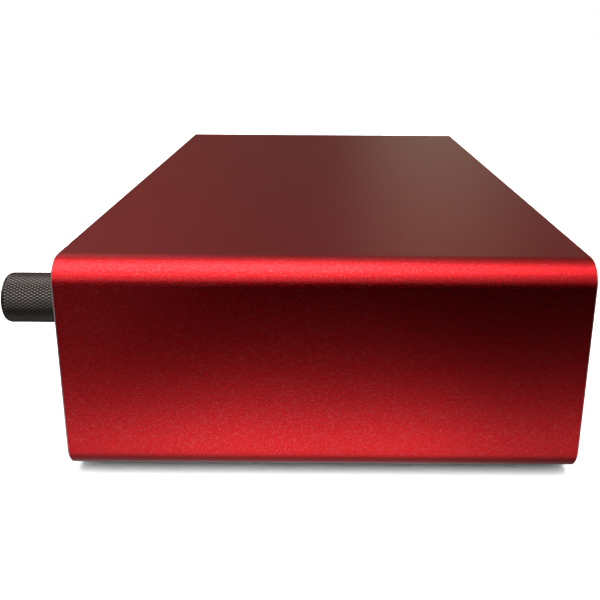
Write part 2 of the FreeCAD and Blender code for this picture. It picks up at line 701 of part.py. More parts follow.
def line_out_body(x):
    """Board-mounted output jack with a threaded bushing through the rear panel."""
    h = LINE_OUT_H
    back = REAR_INNER - LINE_HOUSING_LENGTH
    top = h + LINE_TOP
    housing = block(x - LINE_HALF, x + LINE_HALF, back, REAR_INNER, BOARD_TOP, top)
    housing = housing.makeFillet(LINE_ROUNDING, [e for e in top_edges(housing, top) if runs_back(e)])
    end = REAR_OUTER + PANEL_RECESS + REAR_REACH
    bushing = rod(BUSHING_R, REAR_INNER - FUSE_LAP, end, x, h)
    bushing = bushing.makeChamfer(JACK_BEVEL, end_edges(bushing, end))
    body = fuse([housing, bushing])
    return body.cut(rod(JACK_BORE_R, back + JACK_END_WALL, end, x, h))


# ---- buttons and lights -----------------------------------------------------------------------
def button(x, h):
    """A square cap that slides in the panel, with a retaining flange and a plunger."""
    face = FASCIA_FRONT - BUTTON_PROUD
    d0, d1, reach = SUBPANEL_BACK + FLANGE_GAP, SUBPANEL_BACK + FLANGE_GAP + FLANGE_T, FLANGE_REACH
    cap = rounded(BUTTON_SIDE, BUTTON_SIDE, BUTTON_CORNER, face, d1, x, h)
    cap = cap.makeFillet(BUTTON_ROUNDING, end_edges(cap, face))
    flange = block(x - reach, x + reach, d0, d1, h - FLANGE_LOW, h + reach)
    plunger = rod(PLUNGER_R, d0, SWITCH_FRONT + PLUNGER_REACH, x, h)
    return fuse([cap, flange, plunger])


def button_switches():
    """Four switch bodies on the front board, each with a bore for its button's plunger."""
    made = []
    for x, h in button_places().values():
        low = max(h - SWITCH_HALF, BOARD_TOP + SLIDE_GAP)
        body = block(x - SWITCH_HALF, x + SWITCH_HALF, SWITCH_FRONT, FRONT_BOARD, low, h + SWITCH_HALF)
        made.append(body.cut(rod(PLUNGER_R + SLIDE_GAP, SWITCH_FRONT, SWITCH_FRONT + SWITCH_BORE, x, h)))
    return Part.makeCompound(made)


def status_lights():
    """Light pipes from the front board to the fascia, one beside each button."""
    d0, d1 = FASCIA_FRONT - LIGHT_PROUD, FRONT_BOARD - LIGHT_BACK
    return Part.makeCompound([rod(LIGHT_R, d0, d1, x, h) for x, h in light_places()])


# ---- boards and what stands on them -----------------------------------------------------------
def main_board():
    """The horizontal board, held in the sleeve's rails, notched for the headphone jack."""
    d0, d1 = SUBPANEL_BACK + BOARD_END_GAP, REAR_INNER - BOARD_END_GAP
    board = block(-BOARD_HALF, BOARD_HALF, d0, d1, BOARD_UNDERSIDE, BOARD_TOP)
    left, back = PHONES_X - PHONES_NOTCH_HALF, PHONES_HOUSING_BACK + PHONES_NOTCH_PAST
    return board.cut(block(left, BOARD_HALF, 0, back, BOARD_UNDERSIDE, BOARD_TOP))


def front_board():
    """The upright board behind the controls, open where the inputs and the headphone jack pass."""
    low, high = BOARD_TOP + BOARD_END_GAP, CASE_HEIGHT - WALL - FRONT_BOARD_TOP_GAP
    board = block(*FRONT_BOARD_X, FRONT_BOARD, FRONT_BOARD + BOARD_T, low, high)
    reach = COMBO_HALF + BOARD_END_GAP
    tools = [block(x - reach, x + reach, 0, COMBO_BACK, 0, COMBO_H + reach) for x in COMBO_X]
    reach = PHONES_HOUSING_R + 2 * BOARD_END_GAP
    tools += [block(PHONES_X - reach, INNER_HALF, 0, COMBO_BACK, 0, PHONES_JACK_H + reach)]
    return cut(board, tools)


def board_header():
    """The plug that joins the two boards, with its row of pins."""
    x0, x1 = HEADER_X
    back = FRONT_BOARD + BOARD_T
    strip = block(x0, x1, back, back + HEADER_SIDE, BOARD_TOP, BOARD_TOP + HEADER_SIDE)
    middle, low, high = back + HEADER_SIDE / 2, BOARD_TOP + HEADER_SIDE / 2, BOARD_TOP + PIN_REACH
    pins = []
    for i in range(PIN_COUNT):
        x = x0 + PIN_PITCH * (i + 0.5)
        pins.append(block(x - PIN_HALF, x + PIN_HALF, middle - PIN_HALF, middle + PIN_HALF, low, high))
    return fuse([strip] + pins)


def top_edges(shape, h):
    """Edges that lie in the level plane at a height."""
    return [e for e in shape.Edges if e.BoundBox.ZMin > above(h) - TOLERANCE]


def chip(x, d, side, thick):
    """A square package on the board, at a width and a depth."""
    half, top = side / 2, BOARD_TOP + thick
    body = block(x - half, x + half, d - half, d + half, BOARD_TOP, top)
    return body.makeChamfer(CHIP_BEVEL, top_edges(body, top))


def filter_capacitors():
    """Upright capacitors near the supply."""
    top = BOARD_TOP + CAPACITOR_H
    return Part.makeCompound([post(CAPACITOR_R, BOARD_TOP, top, x, d) for x, d in CAPACITOR_PLACES])


def preamp_shield():
    """A folded can over the input amplifiers."""
    (x0, x1), (d0, d1) = SHIELD_X, [COMBO_BACK + d for d in SHIELD_DEPTHS]
    top, skin = BOARD_TOP + SHIELD_H, SHIELD_SKIN
    can = block(x0, x1, d0, d1, BOARD_TOP, top)
    can = can.makeFillet(SHIELD_ROUNDING, top_edges(can, top))
    return can.cut(block(x0 + skin, x1 - skin, d0 + skin, d1 - skin, BOARD_TOP, top - skin))


# ---- rear connectors --------------------------------------------------------------------------
def lock_pocket():
    """Steel cup behind the lock slot, which the lock's turned head grips."""
    back, w, h = REAR_INNER - LOCK_POCKET_DEPTH, LOCK_POCKET_W / 2, LOCK_POCKET_H / 2
    cup = block(LOCK_X - w, LOCK_X + w, back, REAR_INNER, LOCK_H - h, LOCK_H + h)
    w, h = w - LOCK_SKIN, h - LOCK_SKIN
    return cup.cut(block(LOCK_X - w, LOCK_X + w, back + LOCK_SKIN, REAR_INNER, LOCK_H - h, LOCK_H + h))


def usb_shell():
    """Stamped shell of the reversible data and power socket."""
    h, d1 = USB_MIDDLE, USB_MOUTH
    outer = oblong(USB_W, USB_H, d1 - USB_LENGTH, d1, USB_X, h)
    width, height = USB_W - 2 * USB_SKIN, USB_H - 2 * USB_SKIN
    return outer.cut(oblong(width, height, d1 - USB_LENGTH + USB_END_WALL, d1, USB_X, h))


def usb_tongue():
    x0, x1 = USB_X - USB_TONGUE_HALF_W, USB_X + USB_TONGUE_HALF_W
    d0, d1 = USB_MOUTH - USB_LENGTH + USB_END_WALL, USB_MOUTH - USB_TONGUE_SUNK
    return block(x0, x1, d0, d1, USB_MIDDLE - USB_TONGUE_HALF_H, USB_MIDDLE + USB_TONGUE_HALF_H)


# ---- build ------------------------------------------------------------------------------------
def main():
    os.makedirs("parts", exist_ok=True)
    save("outer_sleeve", outer_sleeve())
    save("front_fascia", front_fascia())
    save("front_subpanel", front_subpanel())
    save("rear_panel", rear_panel())
    save("front_panel_screws", front_panel_screws())
    save("rear_panel_screws", rear_panel_screws())
    for place, (x, d) in foot_places().items():
        save("foot_" + place, foot(x, d))
    for number, x in enumerate(COMBO_X, start=1):
        save(f"combo_jack_{number}_shell", combo_shell(x))
        save(f"combo_jack_{number}_insert", combo_insert(x))
        save(f"combo_jack_{number}_contacts", combo_contacts(x))
    for number, x in enumerate(GAIN_X, start=1):
        cap = knob(x, GAIN_H, GAIN_KNOB_R, GAIN_KNOB_REACH, KNOB_BORE, GAIN_KNOB_ROUNDING)
        save(f"gain_knob_{number}", cap)
        save(f"gain_shaft_{number}", shaft(x, GAIN_H, KNOB_BORE))
        save(f"gain_pot_{number}", pot_body(x, GAIN_H, False))
        save(f"gain_light_ring_{number}", light_ring(x))
    save("monitor_knob", monitor_knob())
    save("monitor_knob_cap", monitor_cap())
    save("monitor_shaft", shaft(MONITOR_X, MONITOR_H, KNOB_BORE))
    save("monitor_pot", pot_body(MONITOR_X, MONITOR_H, False))
    save("phones_knob", phones_knob())
    save("phones_knob_grub_screw", grub_screw())
    save("phones_shaft", shaft(PHONES_X, PHONES_KNOB_H, PHONES_KNOB_BORE))
    save("phones_pot", pot_body(PHONES_X, PHONES_KNOB_H, True))
    save("phones_pot_nut", pot_nut())
    save("phones_jack_body", phones_jack_body())
    save("phones_jack_springs", phones_jack_springs())
    save("phones_jack_nut", jack_nut(PHONES_X, PHONES_JACK_H, FASCIA_FRONT - NUT_T, FASCIA_FRONT))
    for name, (x, h) in button_places().items():
        save(name, button(x, h))
    save("button_switches", button_switches())
    save("status_lights", status_lights())
    save("main_board", main_board())
    save("front_board", front_board())
    save("board_header", board_header())
    save("processor_chip", chip(*PROCESSOR))
    save("converter_chip", chip(*CONVERTER))
    preamps = [chip(x, COMBO_BACK + PREAMP_CHIP_BACK, *PREAMP_CHIP) for x in COMBO_X]
    save("preamp_chips", Part.makeCompound(preamps))
    save("filter_capacitors", filter_capacitors())
    save("preamp_shield", preamp_shield())
    save("usb_port_shell", usb_shell())
    save("usb_port_tongue", usb_tongue())
    for side, x in zip(("left", "right"), LINE_OUT_X):
        save(f"line_out_{side}_body", line_out_body(x))
    nuts = [jack_nut(x, LINE_OUT_H, REAR_OUTER, REAR_OUTER + NUT_T) for x in LINE_OUT_X]
    save("line_out_nuts", Part.makeCompound(nuts))
    save("lock_pocket", lock_pocket())


main()
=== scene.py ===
"""Looks for the audio interface: materials, knurled knobs, printed marks, studio and camera."""
from collections import namedtuple
import json
import math

import bmesh
import bpy
from mathutils import Matrix, Vector

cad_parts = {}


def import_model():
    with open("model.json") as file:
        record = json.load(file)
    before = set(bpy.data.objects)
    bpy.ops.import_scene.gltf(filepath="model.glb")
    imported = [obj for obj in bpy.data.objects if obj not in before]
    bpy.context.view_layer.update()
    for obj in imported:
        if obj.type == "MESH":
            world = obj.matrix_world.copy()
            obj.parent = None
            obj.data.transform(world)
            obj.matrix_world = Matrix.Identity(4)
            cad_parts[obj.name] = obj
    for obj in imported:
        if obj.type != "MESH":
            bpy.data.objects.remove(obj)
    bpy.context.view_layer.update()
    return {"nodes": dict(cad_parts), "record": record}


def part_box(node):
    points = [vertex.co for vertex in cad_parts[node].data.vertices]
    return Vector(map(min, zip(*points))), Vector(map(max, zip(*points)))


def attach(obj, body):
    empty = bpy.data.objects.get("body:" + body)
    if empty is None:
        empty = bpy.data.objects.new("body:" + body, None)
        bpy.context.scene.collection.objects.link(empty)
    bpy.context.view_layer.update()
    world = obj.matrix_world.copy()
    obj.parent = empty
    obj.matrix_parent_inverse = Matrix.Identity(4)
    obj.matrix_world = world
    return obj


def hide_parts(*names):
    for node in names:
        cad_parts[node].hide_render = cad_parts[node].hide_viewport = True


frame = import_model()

MM = 0.001
NODES = frame["nodes"]
SLEEVE_LOW, SLEEVE_HIGH = (Vector(corner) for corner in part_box("outer_sleeve"))
SLEEVE_CORNER_R = 5.0 * MM
FASCIA_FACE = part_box("front_fascia")[0][1]
REAR_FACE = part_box("rear_panel")[1][1]

# Knurled knobs: the CAD node, body, record slot, roughness and number of starts of the knurl, then in
# millimetres the knurl's pitch and depth, the rim's rounding and the radius of the recess for a cap.
Knob = namedtuple("Knob", "node body slot roughness starts pitch depth rounding recess")
KNOBS = (
    Knob("phones_knob", "phones", "phones_knob_metal", 0.20, 50, 1.155, 0.085, 1.02, None),
    Knob("gain_knob_1", "gain_1", "knob_metal", 0.24, 54, 1.2, 0.10, 0.8, None),
    Knob("gain_knob_2", "gain_2", "knob_metal", 0.24, 54, 1.2, 0.10, 0.8, None),
    Knob("monitor_knob", "monitor", "knob_metal", 0.24, 104, 1.3, 0.12, 1.2, 10.65),
)
KNOB_COLOUR = (0.125, 0.110, 0.100)
CAP_COLOUR, CAP_ROUGHNESS = (0.16, 0.155, 0.15), 0.24
KNOB_INSIDE = 0.02 * MM       # how far inside its CAD solid a knob stays
SHAFT_R = 3.02 * MM
FLAT = 0.24                   # the flat top of a knurl pyramid, as a share of the pyramid's width
KNURL_FROM = 58               # the turn round the rim where the knurl starts, in degrees
KNURL_SHORT = 0.7 * MM        # what the knurl leaves free before the knob's back
# The plain band behind the knurl runs between two distances from the back, and is sunk a little.
BAND_FROM, BAND_TO, BAND_SUNK = 0.5 * MM, 0.2 * MM, 0.06 * MM
BACK_BEVEL = 0.3 * MM
RECESS_DEPTH, RECESS_EDGE = 0.9 * MM, 0.15 * MM
# The shallow dish in an end face: its middle, and its depth in millimetres at shares of the radius.
DISH_MIDDLE_R, DISH_MIDDLE_DEPTH = 0.01 * MM, 0.12 * MM
DISH = ((0.5, 0.1), (0.72, 0.03))

# Marks, whose rows are in millimetres. A dial has the CAD node in its middle, its radius, tick length
# and number of ticks. A pointer has the node that it is painted on, its body, how far it lies below the
# node's front, and where it starts and ends. Numerals are placed from the middle of their input.
DIALS = (("gain_knob_1", 9.2, 0.8, 11), ("gain_knob_2", 9.2, 0.8, 11), ("monitor_knob", 14.1, 1.0, 21),
         ("phones_knob", 6.9, 0.7, 11))
POINTERS = (("phones_knob", "phones", 0.04, 1.7, 4.1), ("gain_knob_1", "gain_1", 0.04, 2.0, 5.0),
            ("gain_knob_2", "gain_2", 0.04, 2.0, 5.0), ("monitor_knob_cap", "monitor", 0.38, 5.4, 9.0))
NUMERALS = ((1, -13.2, 14.2), (2, 12.4, 14.2))
HEADPHONE_SIGN_ASIDE = -10.5 * MM     # from the headphone jack's middle
LINKED_RINGS_BELOW = -5.0 * MM        # from the direct button's middle
NUMERAL_SIZE = 2.6 * MM
NUMERAL_STROKE = 0.13         # share of the numeral's size
DIAL_TURN = 300               # degrees
LONG_TICK = 1.5               # times a plain tick
TICK_WIDTH = 0.28 * MM
POINTER_WIDTH = 0.7 * MM
MARK_LIFT = 0.02 * MM

# What gloss sees of the studio. ANGLES is up from +X and over the top to -X, in degrees, and ACROSS is
# how far the way points to -Y or +Y. The softbox is overhead. The side glow is two faint patches towards
# -Y, one low on the +X side and one higher up on the -X side. The room is a dim fill on the -X side, in
# three colours from -Y to +Y.
ANGLES = (-60, 180)
ACROSS = (-1, 1)
SOFTBOX = ((-5, 0.0), (22, 1.2), (40, 2.3), (58, 4.2), (76, 4.6), (94, 2.3), (114, 0.85), (140, 0.18),
           (175, 0.0))
SOFTBOX_ACROSS = ((-1.0, 0.4), (-0.3, 0.9), (0.0, 0.96), (0.22, 0.52), (0.34, 0.32), (1.0, 0.28))
SIDE_GLOW = ((-15, 0.0), (8, 0.36), (25, 0.2), (50, 0.0), (118, 0.0), (136, 0.38), (152, 0.08),
             (170, 0.0))
SIDE_GLOW_ACROSS = ((-0.8, 0.3), (-0.32, 1.0), (-0.06, 0.0), (0.0, 0.0))
ROOM_RISE = ((-60, 0.2), (0, 0.05), (90, 0.3), (130, 0.7), (155, 1.0), (180, 1.0))
ROOM_LEFT = (0.18, 0.051, 0.040)
ROOM_MIDDLE = (0.135, 0.054, 0.048)
ROOM_RIGHT = (0.225, 0.184, 0.145)
ROOM_TO_LEFT = ((-0.25, 1.0), (0.0, 0.0))
ROOM_TO_RIGHT = ((0.0, 0.0), (0.14, 1.0), (0.17, 1.0), (0.31, 0.25))
WORLD_SEEN, WORLD_MATT = 1.0, 1.08

# Brightness of the floor to gloss, in millimetres: by the distance from the case, across from -Y to +Y,
# and a faint glow added towards -Y.
GLOSS_REACH = (0, 240)
GLOSS_FALL = ((0, 0.3), (6, 1.15), (14, 1.3), (24, 0.92), (36, 0.48), (52, 0.21), (76, 0.1),
              (120, 0.025), (240, 0.005))
GLOSS_WIDTH = (-80, 60)
GLOSS_ACROSS = ((-80, 0.2), (-62, 0.56), (-10, 1.0), (15, 0.94), (60, 0.52))
GLOSS_LEFT_WIDTH = (-120, 0)
GLOSS_LEFT = ((-120, 0.13), (-78, 0.158), (-25, 0.0), (0, 0.0))
GLOSS_FLOOR_Z = 0.3 * MM
# Half the side of the floor, and of the sheet that stands in for it to gloss, in metres.
FLOOR_HALF, GLOSS_FLOOR_HALF = 3, 2

# Lamps, in metres and watts: name, place, aim, size, power, and whether matt and glossy surfaces see it.
LAMPS = (
    ("overhead", (0.24, 0, 0.60), (0.10, 0, 0), (0.7, 1.2), 15.0, True, False),
    ("front_fill", (-0.25, -0.9, 0.45), (0, 0, 0.03), (0.7, 0.4), 2.5, False, True),
    ("rear_fill", (-0.2, 0.95, 0.5), (0, 0, 0.03), (0.7, 0.4), 2.0, False, True),
)

# The camera: lens and sensor in millimetres, shift as a share of the frame, pitch and roll in degrees,
# and its place in millimetres from the sleeve's lower +X edge, half-way along its depth.
LENS, SENSOR = 44.77, 36
SHIFT = (-0.0325, -0.0857)
PITCH, ROLL = 16.609, 0.383
CAMERA_PLACE = (132.9, -0.97, 87.36)
CLIP_START = 0.005

# Finishes: the stretch of a noise's values that each layer uses, and how dark a blotch's colour is.
BLOTCH_NOISE, POLISH_NOISE = (0.35, 0.65), (0.3, 0.7)
BLOTCH_SHADE = 0.4
# A Mix node has its own sockets for each kind of value. These are the ones for colour.
MIX_A, MIX_B, MIX_RESULT = 6, 7, 2


# ---- materials --------------------------------------------------------------------------------
class Finish:
    """A Principled material with procedural layers. Sizes are in millimetres of the real object."""

    def __init__(self, name, colour, metallic=0.0, roughness=0.5):
        self.material = bpy.data.materials.new(name)
        self.material.use_nodes = True
        self.tree = self.material.node_tree
        self.shader = self.tree.nodes["Principled BSDF"]
        self.colour = colour
        self.set("Base Color", (*colour, 1))
        self.set("Metallic", metallic)
        self.set("Roughness", roughness)
        self.place = self.node("ShaderNodeTexCoord").outputs["Object"]
        self.normal = None

    def set(self, socket, value):
        self.shader.inputs[socket].default_value = value
        return self

    def node(self, kind, **settings):
        made = self.tree.nodes.new(kind)
        for key, value in settings.items():
            setattr(made, key, value)
        return made

    def link(self, source, target):
        self.tree.links.new(source, target)

    def maths(self, operation, *values):
        made = self.node("ShaderNodeMath", operation=operation)
        for slot, value in zip(made.inputs, values):
            if isinstance(value, (int, float)):
                slot.default_value = value
            else:
                self.link(value, slot)
        return made.outputs[0]

    def axis(self, index):
        split = self.node("ShaderNodeSeparateXYZ")
        self.link(self.place, split.inputs[0])
        return split.outputs[index]

    def noise(self, size, detail=2.0):
        """Noise with features about that many millimetres across."""
        made = self.node("ShaderNodeTexNoise")
        made.inputs["Scale"].default_value = 1 / (size * MM)
        made.inputs["Detail"].default_value = detail
        self.link(self.place, made.inputs["Vector"])
        return made.outputs["Fac"]

    def cells(self, size):
        """Distance to the nearest of points about that many millimetres apart, in cells."""
        made = self.node("ShaderNodeTexVoronoi")
        made.inputs["Scale"].default_value = 1 / (size * MM)
        self.link(self.place, made.inputs["Vector"])
        return made.outputs["Distance"]

    def range(self, value, low, high, to_low, to_high):
        """A value mapped from one range to another, and held at its ends."""
        made = self.node("ShaderNodeMapRange")
        for slot, number in zip(made.inputs[1:5], (low, high, to_low, to_high)):
            slot.default_value = number
        self.link(value, made.inputs[0])
        return made.outputs[0]

    def tint(self, mask, colour):
        """Mixes a colour into the base where the mask is 1."""
        mix = self.node("ShaderNodeMix", data_type="RGBA")
        base = self.shader.inputs["Base Color"]
        if base.is_linked:
            self.link(base.links[0].from_socket, mix.inputs[MIX_A])
        else:
            mix.inputs[MIX_A].default_value = base.default_value
        mix.inputs[MIX_B].default_value = (*colour, 1)
        self.link(mask, mix.inputs[0])
        self.link(mix.outputs[MIX_RESULT], base)
        return self

    def blotch(self, size, amount):
        """Drift in the colour towards a darker one, mixed in by up to the amount."""
        mask = self.range(self.noise(size), *BLOTCH_NOISE, 0, amount)
        return self.tint(mask, tuple(c * BLOTCH_SHADE for c in self.colour))

    def polish(self, size, low, high):
        """Roughness that wanders between two values."""
        wander = self.range(self.noise(size, 4.0), *POLISH_NOISE, low, high)
        self.link(wander, self.shader.inputs["Roughness"])
        return self

    def bump(self, height, depth):
        """Adds relief of that many millimetres."""
        made = self.node("ShaderNodeBump")
        made.inputs["Distance"].default_value = depth * MM
        self.link(height, made.inputs["Height"])
        if self.normal:
            self.link(self.normal, made.inputs["Normal"])
        self.normal = made.outputs[0]
        self.link(self.normal, self.shader.inputs["Normal"])
        return self

    def grain(self, size, depth):
        return self.bump(self.noise(size), depth)

    def turned(self, x, z, pitch, depth):
        """Fine rings left by a lathe, round a line along the depth."""
        dx = self.maths("SUBTRACT", self.axis(0), x)
        dz = self.maths("SUBTRACT", self.axis(2), z)
        squares = self.maths("ADD", self.maths("POWER", dx, 2), self.maths("POWER", dz, 2))
        radius = self.maths("SQRT", squares)
        wave = self.maths("SINE", self.maths("MULTIPLY", radius, 2 * math.pi / (pitch * MM)))
        return self.bump(wave, depth)


def sleeve_finish():
    """Bead-blasted red anodise, with a paler chamfer at each end of the extrusion: partly a cut edge,
    partly painted highlight for the light that it catches.
    """
    red, pale_red = (0.64, 0.0038, 0.0093), (0.90, 0.20, 0.23)
    dust_grey, cut_edge_and_highlight = (0.75, 0.70, 0.66), (0.92, 0.62, 0.62)
    made = Finish("anodised_red", red, 1.0, 0.14)
    made.set("Coat Weight", 0.34).set("Coat Roughness", 0.12)

    # A slow drift over the faces, then the fine dark and pale speckle of the blasting.
    made.blotch(40, 0.08).blotch(0.28, 0.34)
    pale_speckle = made.range(made.noise(0.26), 0.55, 0.68, 0.0, 0.24)
    made.tint(pale_speckle, pale_red)
    made.polish(0.6, 0.14, 0.17).grain(0.22, 0.048)
    dust = made.range(made.cells(9.0), 0.0, 0.016, 0.6, 0.0)
    made.tint(dust, dust_grey)

    # A chamfer is the only face that leans towards an open end without facing it.
    least_lean, most_lean = 0.5, 0.9
    facing = made.node("ShaderNodeSeparateXYZ")
    made.link(made.node("ShaderNodeNewGeometry").outputs["True Normal"], facing.inputs[0])
    lean = made.maths("ABSOLUTE", facing.outputs["Y"])
    leans = made.maths("GREATER_THAN", lean, least_lean)
    not_square = made.maths("LESS_THAN", lean, most_lean)
    # Painted highlight, with a cut edge: the chamfers are tinted pale pink for the light they catch.
    made.tint(made.maths("MULTIPLY", leans, not_square), cut_edge_and_highlight)
    return made


def simple_finishes():
    """One finish for each material slot of the record, apart from the sleeve's."""
    made = {}

    def add(slot, colour, metallic, low, high, grain, depth, blotch=0.1):
        """Low and high are the roughness. Grain and depth are the relief's size, in millimetres."""
        finish = Finish(slot, colour, metallic, (low + high) / 2)
        finish.blotch(18, blotch).polish(5, low, high).grain(grain, depth)
        made[slot] = finish
        return finish

    add("fascia", (0.017, 0.017, 0.019), 0.0, 0.38, 0.5, 0.25, 0.012)
    add("subpanel", (0.55, 0.56, 0.57), 1.0, 0.3, 0.45, 0.3, 0.006)
    add("rear_plate", (0.018, 0.018, 0.02), 0.0, 0.45, 0.6, 0.3, 0.02)
    add("screws", (0.55, 0.55, 0.56), 1.0, 0.25, 0.4, 0.2, 0.006)
    add("screws_black", (0.045, 0.045, 0.05), 1.0, 0.3, 0.45, 0.2, 0.008)
    add("foot_rubber", (0.02, 0.02, 0.02), 0.0, 0.75, 0.9, 0.3, 0.04)
    add("connector_black", (0.022, 0.022, 0.024), 0.0, 0.32, 0.5, 0.35, 0.015)
    add("insert_black", (0.04, 0.04, 0.045), 0.0, 0.3, 0.42, 0.3, 0.01)
    add("contacts", (0.80, 0.58, 0.25), 1.0, 0.18, 0.3, 0.3, 0.004)
    add("contacts_steel", (0.62, 0.62, 0.63), 1.0, 0.22, 0.35, 0.25, 0.004)
    add("shaft_metal", (0.58, 0.58, 0.57), 1.0, 0.25, 0.38, 0.3, 0.004)
    add("lock_steel", (0.50, 0.50, 0.51), 1.0, 0.3, 0.45, 0.3, 0.006)
    add("pot_case", (0.45, 0.46, 0.47), 1.0, 0.3, 0.45, 0.3, 0.006)
    add("nut_metal", (0.50, 0.50, 0.51), 1.0, 0.22, 0.36, 0.3, 0.006)
    guide = add("light_guide", (0.52, 0.56, 0.54), 0.0, 0.3, 0.42, 0.3, 0.008, 0.04)
    guide.set("Subsurface Weight", 0.25)
    add("button_plastic", (0.10, 0.10, 0.105), 0.0, 0.42, 0.55, 0.3, 0.012)
    add("switch_plastic", (0.05, 0.05, 0.05), 0.0, 0.5, 0.6, 0.4, 0.01)
    add("board", (0.015, 0.085, 0.04), 0.0, 0.25, 0.4, 0.5, 0.01)
    add("header_plastic", (0.03, 0.03, 0.03), 0.0, 0.45, 0.6, 0.3, 0.01)
    add("chip", (0.03, 0.03, 0.032), 0.0, 0.5, 0.65, 0.2, 0.01)
    add("capacitor", (0.035, 0.045, 0.10), 0.0, 0.3, 0.45, 0.5, 0.006)
    add("shield_metal", (0.62, 0.63, 0.63), 1.0, 0.28, 0.42, 0.4, 0.006)
    return made


def centre(node):
    """The x and z of the middle of a CAD node's box."""
    low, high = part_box(node)
    return (low[0] + high[0]) / 2, (low[2] + high[2]) / 2


def knob_finish(name, colour, roughness, node):
    """Dark anodised turned metal, with lathe rings on its end face and painted shade in its knurl grooves.
    """
    smoothest, roughest = roughness - 0.06, roughness + 0.08
    groove_shade = tuple(0.1 * c for c in colour)
    made = Finish(name, colour, 1.0, roughness)
    made.blotch(3, 0.12).polish(0.8, smoothest, roughest).grain(0.12, 0.006)
    # Painted shade: the knurl's grooves are darkened towards a tenth of the colour, fading out up their
    # flanks.
    groove = made.node("ShaderNodeAttribute", attribute_name="groove").outputs["Fac"]
    made.tint(made.range(groove, 0.1, 0.75, 0.0, 0.9), groove_shade)
    return made.turned(*centre(node), pitch=0.16, depth=0.0008)


def ink_finish():
    """Pale grey print."""
    return Finish("mark_ink", (0.62, 0.62, 0.60), 0.0, 0.6).blotch(2, 0.08).grain(0.2, 0.004)


def paint(obj, material):
    obj.data.materials.clear()
    obj.data.materials.append(material)


def place(name, data):
    """A new object in the scene, with that mesh, light or camera."""
    obj = bpy.data.objects.new(name, data)
    bpy.context.collection.objects.link(obj)
    return obj


def from_bmesh(name, bm):
    """A new object with the built mesh, which is freed."""
    mesh = bpy.data.meshes.new(name)
    bm.to_mesh(mesh)
    bm.free()
    return place(name, mesh)


# ---- knobs ------------------------------------------------------------------------------------
class Lathe:
    """Rings of vertices round a line along the depth, joined into a skin."""

    def __init__(self, x, z, sides):
        self.bm = bmesh.new()
        self.groove = self.bm.verts.layers.float.new("groove")
        self.x, self.z, self.sides = x, z, sides

    def point(self, radius, y, turn):
        return self.bm.verts.new((self.x + radius * math.cos(turn), y, self.z + radius * math.sin(turn)))

    def ring(self, radius, y):
        return [self.point(radius, y, 2 * math.pi * i / self.sides) for i in range(self.sides)]

    def join(self, a, b):
        for i in range(self.sides):
            j = (i + 1) % self.sides
            self.bm.faces.new((a[i], a[j], b[j], b[i])).smooth = True

    def skin(self, profile, start=None):
        """Joins rings along a profile of (radius, y), and returns the last ring."""
        last = start
        for radius, y in profile:
            ring = self.ring(radius, y)
            if last:
                self.join(last, ring)
            last = ring
        return last

    def knurl(self, start, y0, y1, outline, depth, rows):
        """Diamond knurl from the ring at y0 to a new ring at y1, which it returns. Flat-topped pyramids
        stand between two crossing families of grooves, sunk from an outline. Rows are half diamonds."""
        def at(i, j, sunk):
            y = y0 + (y1 - y0) * j / rows
            return self.point(outline(y) - sunk, y, 2 * math.pi * i / self.sides)

        def sides_of(i, j):
            return crossing[(i - 1) % self.sides, j], crossing[(i + 1) % self.sides, j]

        places = range(self.sides)
        end = [at(i, rows, depth) for i in places]
        crossing = {(i, 0): start[i] for i in places}
        crossing.update({(i, rows): end[i] for i in places})
        crossing.update({(i, j): at(i, j, depth) for j in range(1, rows) for i in places if (i + j) % 2})
        # The grooves' vertices are marked, for the painted shade that the knob's finish puts in the
        # grooves.
        for vert in crossing.values():
            vert[self.groove] = 1
        for j in range(1, rows):
            for i in places:
                if (i + j) % 2:
                    continue
                west, east = sides_of(i, j)
                outer = [west, crossing[i, j - 1], east, crossing[i, j + 1]]
                top = [at(i - FLAT, j, 0), at(i, j - FLAT, 0), at(i + FLAT, j, 0), at(i, j + FLAT, 0)]
                self.bm.faces.new(top)
                for k in range(4):
                    n = (k + 1) % 4
                    self.bm.faces.new((outer[k], outer[n], top[n], top[k]))
        for j, near in ((0, 1), (rows, rows - 1)):
            for i in places:
                if (i + j) % 2:
                    continue
                west, east = sides_of(i, j)
                self.bm.faces.new((west, crossing[i, j], crossing[i, near]))
                self.bm.faces.new((crossing[i, j], east, crossing[i, near]))
        return end

    def finish(self, name):
        bmesh.ops.recalc_face_normals(self.bm, faces=self.bm.faces)
        return from_bmesh(name, self.bm)


def rim(radius, face, rounding, end, steps=7):
    """Profile of a rounded rim, from the end face out to a turn of that many degrees."""
    turns = [math.radians(end) * k / steps for k in range(steps + 1)]
    return [(radius - rounding * (1 - math.sin(t)), face + rounding * (1 - math.cos(t))) for t in turns]


def recessed(face, recess):
    """Inner profile of a knob whose end face is sunk for a cap."""
    floor_y = face + RECESS_DEPTH
    edge = [(recess, face + RECESS_EDGE), (recess + RECESS_EDGE, face)]
    return [(SHAFT_R, floor_y), (recess, floor_y)] + edge


def dished(face, radius):
    """Inner profile of a knob with a shallow dish in its end face."""
    middle = (DISH_MIDDLE_R, face + DISH_MIDDLE_DEPTH)
    return [middle] + [(radius * share, face + depth * MM) for share, depth in DISH]


